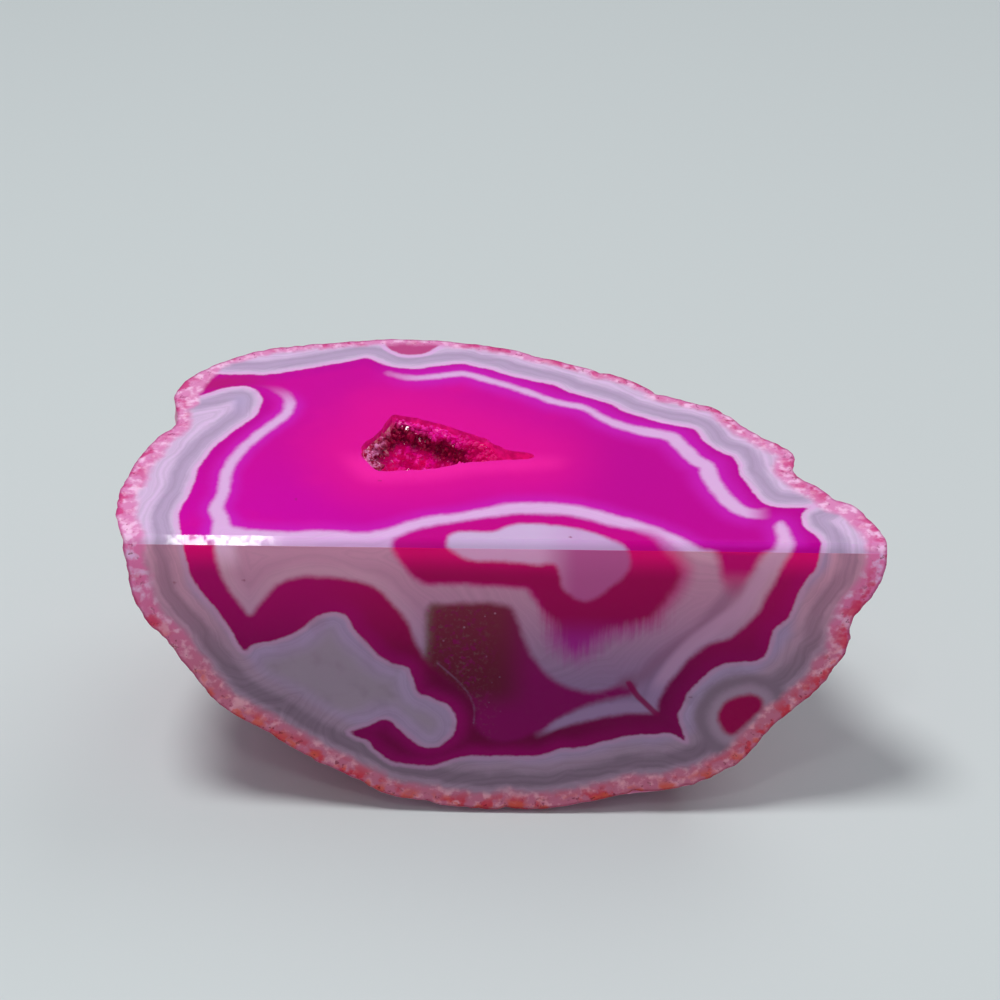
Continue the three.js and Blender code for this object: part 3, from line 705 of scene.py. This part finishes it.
# painted shade: the rind band goes dark within 1.3 mm of the floor, for the shadow under the front rim
crumbs = lay(crumbs, "rindDarkAndShade", p.step(height, 1.3, 0.2), 0.7)
colour = p.mix(p.step(rindDepth, -0.7, 0.5), colour, crumbs)
colour = lay(colour, "eye", both(p.step(depth("eye"), -0.4, 0.5), p.step(rim, 0.8, 1.6)))
onBevel = p.step(p.sum("ABSOLUTE", across, 0.0), 0.735, 0.70)
ridgeLight = p.sum("ADD", both(onBevel, p.step(across, 0.7, -0.7, 0.14, -0.1)), 1.0)
ridgeLight = p.sum("ADD", ridgeLight, p.sum("MULTIPLY", underRidge, 0.14))
p.feed(p.shader.inputs["Base Color"], p.scaled(colour, ridgeLight))
finish = {
    "polish": 0.13,                      # roughness of the sawn faces
    "rindBand": 0.35,
    "faceShine": 0.06,                   # specular level of the faces, then of the ridge's glint
    "ridgeShine": 0.95,
    "rind": 0.55,
    "wall": 0.3,
    "wallShine": 0.3,
    "wallLight": 0.26,                   # emission, for light that comes through the stone
    "crystal": 0.14,
    "crystalShine": 0.35,
    "crystalCoat": 0.25,
    "crystalLight": (0.15, 0.03),        # emission in the open, then in the shade
}
roughness = p.step(rindDepth, -0.4, 0.4, finish["polish"], finish["rindBand"])
p.feed(p.shader.inputs["Roughness"], roughness)
# painted highlight: the bevel's specular level is raised only along this stretch of the ridge, broken up
# by noise, so the ridge_glint lamp's glint shows there alone
glintStretch = both(window(alongX, -36, -33.5, -27.5, -21), p.step(p.grain(0.8), 0.34, 0.6, 0.25, 1.0))
shine = both(glintStretch, onBevel)
shine = p.step(shine, 0, 1, finish["faceShine"], finish["ridgeShine"])
p.feed(p.shader.inputs["Specular IOR Level"], shine)
polished.glow(0.25, (1.0, 0.4, 0.8), 1.5)

print("rind")
rindTones = surfaces({
    "high": (236, 165, 200),
    "low": (190, 56, 116),
    "dusty": (206, 96, 150),
    "rust": (196, 62, 66),
    "white": (236, 196, 208),
    "pit": (120, 22, 58),
})
rind = Paint("rind")
relief = rind.value("relief")
skin = rind.mix(rind.step(relief, 0.2, 0.52), rindTones["high"], rindTones["low"])
skin = rind.mix(rind.step(rind.grain(0.7, 4.0), 0.45, 0.62, 0.0, 0.5), skin, rindTones["dusty"])
skin = rind.mix(rind.step(rind.grain(4.5, 6.0), 0.52, 0.64, 0.0, 0.75), skin, rindTones["rust"])
skin = rind.mix(rind.step(rind.grain(1.2), 0.6, 0.7, 0.0, 0.6), skin, rindTones["white"])
skin = rind.mix(rind.step(relief, 0.5, 0.7, 0.0, 0.8), skin, rindTones["pit"])
rind.feed(rind.shader.inputs["Base Color"], skin)
rind.shader.inputs["Roughness"].default_value = finish["rind"]
rind.glow(0.15, (1.0, 0.4, 0.6), 1.0)

print("pocket wall")
wallTones = surfaces({"deep": (186, 2, 90), "bright": (232, 24, 136), "lit": (236, 20, 140)})
wall = Paint("pocket_wall")
lining = wall.mix(wall.step(wall.grain(1.1), 0.4, 0.65), wallTones["deep"], wallTones["bright"])
wall.feed(wall.shader.inputs["Base Color"], lining)
wall.shader.inputs["Roughness"].default_value = finish["wall"]
wall.shader.inputs["Specular IOR Level"].default_value = finish["wallShine"]
wall.shader.inputs["Emission Color"].default_value = wallTones["lit"]
wall.shader.inputs["Emission Strength"].default_value = finish["wallLight"]
for paint in (polished, rind, wall):
    stone.data.materials.append(paint.material)

print("crystals")
druse = {
    "count": 1300,
    "size": (0.13, 0.34),                # radius range, in mm
    "edge": 1.2,                         # crust this near the top flat is worn down
    "wear": (0.3, 0.5, 1.5),             # even share of that drop, uneven share, its span in mm
    "headroom": 0.12,                    # least drop below the top flat
    "length": (0.5, 1.6),                # of a crystal's sides, in its own radii
    "taper": 0.9,
    "lean": 0.5,
    "seed": 5,
}
druseTones = surfaces({
    "magenta": (214, 4, 140),
    "pink": (246, 44, 176),
    "crimson": (206, 0, 100),
    "dark": (140, 0, 26),
    "frost": (255, 150, 210),
    "lit": (228, 0, 128),
    "frostLit": (255, 110, 190),
})
crystalPaint = Paint("crystal")
c = crystalPaint
placeInStone = c.add("ShaderNodeSeparateXYZ", {0: c.place}).outputs
crystalX = c.sum("MULTIPLY", placeInStone["X"], 1 / mm)
under = c.sum("SUBTRACT", cut["ridge"][2] + 0.7, c.sum("MULTIPLY", placeInStone["Z"], 1 / mm))
slanting = c.sum("SUBTRACT", under, c.sum("MULTIPLY", crystalX, 0.17))
shaded = c.sum("MULTIPLY", c.step(slanting, 1.9, 2.9), c.step(slanting, 5.6, 4.3))
shaded = c.sum("MULTIPLY", shaded, c.step(crystalX, -2.5, -5.0))
glass = c.mix(c.step(c.grain(2.5), 0.42, 0.62), druseTones["magenta"], druseTones["pink"])
glass = c.mix(c.step(crystalX, -6.0, -2.0), glass, druseTones["crimson"])
glass = c.mix(c.sum("MULTIPLY", shaded, 0.9), glass, druseTones["dark"])
frosted = c.sum("MULTIPLY", c.step(crystalX, -12.0, -14.5), c.step(c.grain(0.8), 0.42, 0.6))
frosted = c.sum("MULTIPLY", frosted, c.step(under, 3.2, 1.6, 0.0, 0.8))
glass = c.mix(frosted, glass, druseTones["frost"])
c.feed(c.shader.inputs["Base Color"], glass)
c.shader.inputs["Roughness"].default_value = finish["crystal"]
c.shader.inputs["Specular IOR Level"].default_value = finish["crystalShine"]
c.glow(0.2, (1.0, 0.2, 0.5), 1.0)
c.shader.inputs["Coat Weight"].default_value = finish["crystalCoat"]
lit = c.mix(frosted, druseTones["lit"], druseTones["frostLit"])
c.feed(c.shader.inputs["Emission Color"], lit)
c.feed(c.shader.inputs["Emission Strength"], c.step(shaded, 0, 1, *finish["crystalLight"]))


def quartzPoint(mesh, foot, direction, radius, length):   # a six-sided prism with a pointed end
    turn = direction.to_track_quat("Z", "Y").to_matrix()
    rings = []
    for level, width in ((-0.5 * radius, radius), (length, druse["taper"] * radius)):
        corners = [
            Vector((width * math.cos(k * math.pi / 3), width * math.sin(k * math.pi / 3), level))
            for k in range(6)]
        rings.append([mesh.verts.new(foot + (turn @ corner) * mm) for corner in corners])
    tip = mesh.verts.new(foot + turn @ Vector((0, 0, length + radius)) * mm)
    mesh.faces.new(rings[0][::-1])
    for k in range(6):
        n = (k + 1) % 6
        mesh.faces.new((rings[0][k], rings[0][n], rings[1][n], rings[1][k]))
        mesh.faces.new((rings[1][k], rings[1][n], tip))


crust = copyOfNode("crystal_crust", "pocket_crystals")
random.seed(druse["seed"])
topPoint, topNormal = flats["top"]
even, uneven, span = druse["wear"]
for vertex in crust.data.vertices:       # the druse ends below the face, unevenly
    below = (topPoint - vertex.co).dot(topNormal) / mm
    if below < druse["edge"]:
        drop = druse["edge"] * (even + uneven * noise.noise(vertex.co / mm / span))
        vertex.co -= topNormal * drop * mm
hollow = sum((vertex.co for vertex in crust.data.vertices), Vector()) / len(crust.data.vertices)
walls = [
    polygon for polygon in crust.data.polygons
    if polygon.normal.dot(hollow - polygon.center) > 0 or polygon.normal.z > 0.3]
weights = [polygon.area for polygon in walls]
mesh = bmesh.new()
mesh.from_mesh(crust.data)
for polygon in random.choices(walls, weights, k=druse["count"]):
    corners = [crust.data.vertices[v].co for v in polygon.vertices]
    shares = [random.random() for corner in corners]
    foot = sum((corner * share for corner, share in zip(corners, shares)), Vector()) / sum(shares)
    lean = Vector([random.uniform(-druse["lean"], druse["lean"]) for axis in range(3)])
    direction = (polygon.normal + lean).normalized()
    radius = random.uniform(*druse["size"])
    length = radius * random.uniform(*druse["length"])
    tip = foot + direction * (length + radius) * mm
    if (tip - topPoint).dot(topNormal) < -druse["headroom"] * mm:
        quartzPoint(mesh, foot, direction, radius, length)
mesh.to_mesh(crust.data)
mesh.free()
crust.data.materials.append(crystalPaint.material)
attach(crust, "root")
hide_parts("crystal_crust")

print("floor and light")
room = {
    "floor": 1.6,                        # metres to each side
    "rise": 0.3,                         # height of the backdrop's curve
    "colour": (205, 211, 211),
    "roughness": 0.6,
    "air": (0.86, 0.93, 1.0, 1),
    "airStrength": 0.3,
}


def makeFloor():
    half, rise = room["floor"], room["rise"]
    profile = [(-half, 0.0), (half - rise, 0.0)]
    profile += [
        (half - rise + rise * math.sin(a), rise - rise * math.cos(a))
        for a in (math.radians(9 * k) for k in range(1, 11))]
    points = [(x, y, z) for y, z in profile for x in (-half, half)]
    faces = [(2 * k, 2 * k + 1, 2 * k + 3, 2 * k + 2) for k in range(len(profile) - 1)]
    mesh = bpy.data.meshes.new("floor")
    mesh.from_pydata(points, [], faces)
    floor = bpy.data.objects.new("floor", mesh)
    bpy.context.scene.collection.objects.link(floor)
    material = bpy.data.materials.new("floor")
    material.use_nodes = True
    shader = material.node_tree.nodes["Principled BSDF"]
    shader.inputs["Base Color"].default_value = linear(room["colour"])
    shader.inputs["Roughness"].default_value = room["roughness"]
    mesh.materials.append(material)
    useOnly(floor)
    bpy.ops.object.shade_smooth()


lamps = {   # metres and watts
    "key": {"place": (-0.17, -0.08, 0.75), "size": 0.2, "power": 3.4, "aim": (0, 0, 0.02)},
    "ridge_glint": {
        "place": (-0.1, -0.34, 0.56), "size": 0.07, "power": 0.2, "aim": (-0.03, -0.02, 0.034)},
    "fill": {"place": (0.35, 0.35, 0.7), "size": 0.6, "power": 1.3, "aim": (0, 0, 0.02)},
}


def makeLight(name, place, size, power, aim):
    lamp = bpy.data.lights.new(name, "AREA")
    lamp.shape = "DISK"
    lamp.size = size
    lamp.energy = power
    holder = bpy.data.objects.new(name, lamp)
    holder.location = place
    holder.rotation_euler = (Vector(aim) - Vector(place)).to_track_quat("-Z", "Y").to_euler()
    bpy.context.scene.collection.objects.link(holder)


makeFloor()
for name, lamp in lamps.items():
    makeLight(name, **lamp)
world = bpy.data.worlds.new("room")
world.use_nodes = True
air = world.node_tree.nodes["Background"].inputs
air["Color"].default_value = room["air"]
air["Strength"].default_value = room["airStrength"]
bpy.context.scene.world = world
bpy.context.scene.view_settings.view_transform = "Standard"
